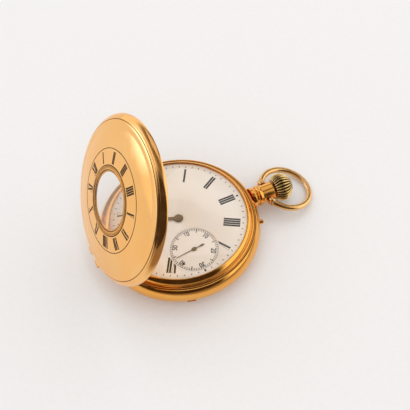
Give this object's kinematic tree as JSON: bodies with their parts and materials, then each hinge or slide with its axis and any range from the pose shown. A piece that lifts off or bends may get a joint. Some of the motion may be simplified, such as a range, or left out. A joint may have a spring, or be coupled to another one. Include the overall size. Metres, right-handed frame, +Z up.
{
  "type": "half-hunter pocket watch",
  "caption": "Half-hunter pocket watch with a hinged front cover and its round window, hinged back and cuvette, pendant, ribbed crown, swinging bow and a complete keyless movement.",
  "frame": {"origin": "centre of the flat on the back cover, where the watch lies on a table", "axes": "+Z up through the dial, +X through the winding stem to the crown (3 o'clock), +Y through 12 o'clock"},
  "size_m": [0.0732, 0.0504, 0.0505],
  "materials": {
    "case_gold": "polished 18 carat gold",
    "cover_gold": "satin 18 carat gold",
    "cuvette_gold": "polished gold",
    "crown_gold": "worn, darkened gold",
    "crystal_glass": "clear polished glass",
    "dial_enamel": "fired white enamel",
    "numeral_enamel": "black enamel",
    "hand_gold": "dark gold",
    "gilt_brass": "frosted gilding",
    "wheel_brass": "polished brass",
    "polished_steel": "polished",
    "blued_steel": "blued and polished",
    "ruby": "polished red corundum"
  },
  "bodies": {
    "case": {"case_band": "case_gold", "pendant": "case_gold", "bezel": "case_gold", "crystal": "crystal_glass", "hinge_pins": "polished_steel", "bow_screws": "crown_gold", "fly_spring": "blued_steel", "lock_spring": "blued_steel", "case_screws": "blued_steel", "dial": "dial_enamel", "seconds_dial": "dial_enamel", "dial_numerals": "numeral_enamel", "main_plate": "gilt_brass", "barrel_bridge": "gilt_brass", "train_bridge": "gilt_brass", "balance_cock": "gilt_brass", "pallet_cock": "gilt_brass", "bridge_screws": "blued_steel", "jewels": "ruby", "click_spring": "polished_steel", "crown_wheel_screw": "blued_steel", "regulator": "polished_steel"},
    "front_cover": {"front_cover": "cover_gold", "cover_window_ring": "cover_gold", "cover_crystal": "crystal_glass", "cover_numerals": "numeral_enamel"},
    "back_cover": {"back_cover": "case_gold"},
    "cuvette": {"cuvette": "cuvette_gold"},
    "bow": {"bow": "case_gold"},
    "release_collar": {"release_collar": "polished_steel"},
    "crown": {"crown": "crown_gold", "winding_stem": "polished_steel"},
    "winding_pinion": {"winding_pinion": "polished_steel"},
    "crown_wheel": {"crown_wheel": "polished_steel"},
    "ratchet": {"barrel_arbor": "polished_steel", "ratchet_wheel": "polished_steel", "ratchet_screw": "blued_steel"},
    "click": {"click": "polished_steel"},
    "setting_pusher": {"setting_pusher": "case_gold"},
    "barrel": {"barrel": "wheel_brass", "barrel_cover": "wheel_brass", "mainspring": "polished_steel"},
    "centre": {"centre_wheel": "wheel_brass", "cannon_pinion": "polished_steel", "minute_hand": "hand_gold"},
    "minute_wheel": {"minute_wheel": "wheel_brass"},
    "hour": {"hour_wheel": "wheel_brass", "hour_hand": "hand_gold"},
    "third": {"third_wheel": "wheel_brass"},
    "fourth": {"fourth_wheel": "wheel_brass", "seconds_hand": "hand_gold"},
    "escape": {"escape_wheel": "polished_steel"},
    "pallet": {"pallet_lever": "polished_steel", "pallet_stones": "ruby"},
    "balance": {"balance_wheel": "gilt_brass", "balance_staff": "polished_steel", "hairspring": "blued_steel"}
  },
  "joints": [
    {"name": "front_cover_hinge", "type": "hinge", "parent": "case", "child": "front_cover", "pos_m": [-0.0248, 0, 0.00615], "axis": [0, 1, 0], "range_deg": [0, 62.5], "stiffness_Nm_per_rad": 0.004, "springref_deg": -60.16},
    {"name": "back_cover_hinge", "type": "hinge", "parent": "case", "child": "back_cover", "pos_m": [0.00634, 0.02367, 0.003], "axis": [0.9659, -0.2588, 0], "range_deg": [0, 95]},
    {"name": "cuvette_hinge", "type": "hinge", "parent": "case", "child": "cuvette", "pos_m": [0.00563, 0.02101, 0.00305], "axis": [0.9659, -0.2588, 0], "range_deg": [0, 81]},
    {"name": "bow_swing", "type": "hinge", "parent": "case", "child": "bow", "pos_m": [0.03, 0, 0.0052], "axis": [0, -1, 0], "range_deg": [-70, 115]},
    {"name": "crown_push", "type": "slide", "parent": "case", "child": "release_collar", "axis": [1, 0, 0], "range_m": [-0.00035, 0], "stiffness_N_per_m": 1000, "springref_m": 0.001},
    {"name": "crown_spin", "type": "hinge", "parent": "release_collar", "child": "crown", "pos_m": [0.035, 0, 0.0052], "axis": [1, 0, 0], "continuous": true},
    {"name": "winding_pinion_spin", "type": "hinge", "parent": "case", "child": "winding_pinion", "pos_m": [0.017, 0, 0.0052], "axis": [1, 0, 0], "continuous": true},
    {"name": "crown_wheel_spin", "type": "hinge", "parent": "case", "child": "crown_wheel", "pos_m": [0.0122, 0, 0.0023], "axis": [0, 0, 1], "continuous": true},
    {"name": "ratchet_spin", "type": "hinge", "parent": "case", "child": "ratchet", "pos_m": [0.00423, 0.00795, 0.004], "axis": [0, 0, 1], "continuous": true},
    {"name": "click_pivot", "type": "hinge", "parent": "case", "child": "click", "pos_m": [-0.00279, 0.012, 0.0023], "axis": [0, 0, -1], "range_deg": [0, 10]},
    {"name": "setting_push", "type": "slide", "parent": "case", "child": "setting_pusher", "axis": [0.9323, -0.3616, 0], "range_m": [-0.0007, 0], "stiffness_N_per_m": 500, "springref_m": 0.001},
    {"name": "seconds_spin", "type": "hinge", "parent": "case", "child": "fourth", "pos_m": [0, -0.01163, 0.005], "axis": [0, 0, -1], "continuous": true},
    {"name": "third_spin", "type": "hinge", "parent": "case", "child": "third", "pos_m": [0.0039, -0.00658, 0.005], "axis": [0, 0, -1], "continuous": true},
    {"name": "minute_hand_spin", "type": "hinge", "parent": "case", "child": "centre", "pos_m": [0, 0, 0.005], "axis": [0, 0, -1], "continuous": true},
    {"name": "barrel_spin", "type": "hinge", "parent": "case", "child": "barrel", "pos_m": [0.00423, 0.00795, 0.005], "axis": [0, 0, -1], "continuous": true},
    {"name": "minute_wheel_spin", "type": "hinge", "parent": "case", "child": "minute_wheel", "pos_m": [-0.00331, 0.00278, 0.0082], "axis": [0, 0, -1], "continuous": true},
    {"name": "hour_hand_spin", "type": "hinge", "parent": "case", "child": "hour", "pos_m": [0, 0, 0.0086], "axis": [0, 0, -1], "continuous": true},
    {"name": "escape_spin", "type": "hinge", "parent": "case", "child": "escape", "pos_m": [-0.00496, -0.01344, 0.005], "axis": [0, 0, -1], "continuous": true},
    {"name": "pallet_swing", "type": "hinge", "parent": "case", "child": "pallet", "pos_m": [-0.00636, -0.01045, 0.005], "axis": [0, 0, 1], "range_deg": [-4, 4]},
    {"name": "balance_swing", "type": "hinge", "parent": "case", "child": "balance", "pos_m": [-0.00813, -0.00664, 0.0032], "axis": [0, 0, 1], "range_deg": [-270, 270], "stiffness_Nm_per_rad": 0.000006, "deforming": ["hairspring"]}
  ],
  "couplings": [
    {"joint": "cuvette_hinge", "follows": "back_cover_hinge", "ratio": 0.85},
    {"joint": "winding_pinion_spin", "follows": "crown_spin", "ratio": 1},
    {"joint": "crown_wheel_spin", "follows": "crown_spin", "ratio": 0.5},
    {"joint": "ratchet_spin", "follows": "crown_spin", "ratio": -0.41667},
    {"joint": "third_spin", "follows": "seconds_spin", "ratio": -0.13333},
    {"joint": "minute_hand_spin", "follows": "seconds_spin", "ratio": 0.016667},
    {"joint": "barrel_spin", "follows": "seconds_spin", "ratio": -0.0020833},
    {"joint": "minute_wheel_spin", "follows": "seconds_spin", "ratio": -0.0055556},
    {"joint": "hour_hand_spin", "follows": "seconds_spin", "ratio": 0.0013889},
    {"joint": "escape_spin", "follows": "seconds_spin", "ratio": -10}
  ]
}
